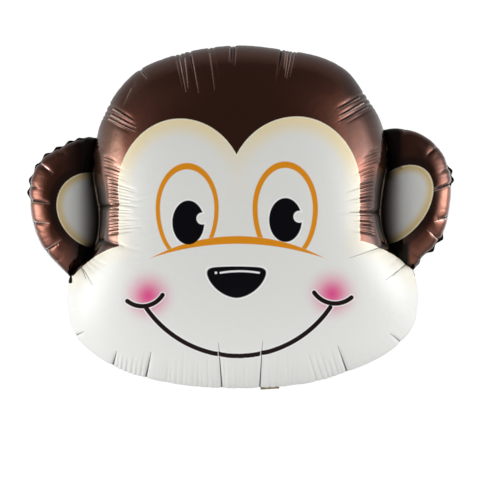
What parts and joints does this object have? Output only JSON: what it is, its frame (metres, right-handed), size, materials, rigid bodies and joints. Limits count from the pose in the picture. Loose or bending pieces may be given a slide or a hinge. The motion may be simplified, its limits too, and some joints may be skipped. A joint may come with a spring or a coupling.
{
  "type": "monkey head foil balloon",
  "caption": "Inflated foil balloon in the shape of a monkey's head, with two ears, a printed face and a filling tail folded behind, lying on its back",
  "frame": {"origin": "bottom centre of the bounding box, on the surface that the balloon lies on", "axes": "+X to the right of the printed face as it is looked at, +Y towards the crown, +Z out of the face, up"},
  "size_m": [0.5622, 0.458, 0.245],
  "materials": {
    "printed_foil": "metallised film with glossy print, brown with a white face",
    "brown_foil": "metallised film, glossy brown",
    "tail_film": "metallised film, glossy, pale bronze"
  },
  "bodies": {
    "root": {"front_foil": "printed_foil", "back_foil": "brown_foil", "filling_tail": "tail_film"}
  },
  "joints": []
}
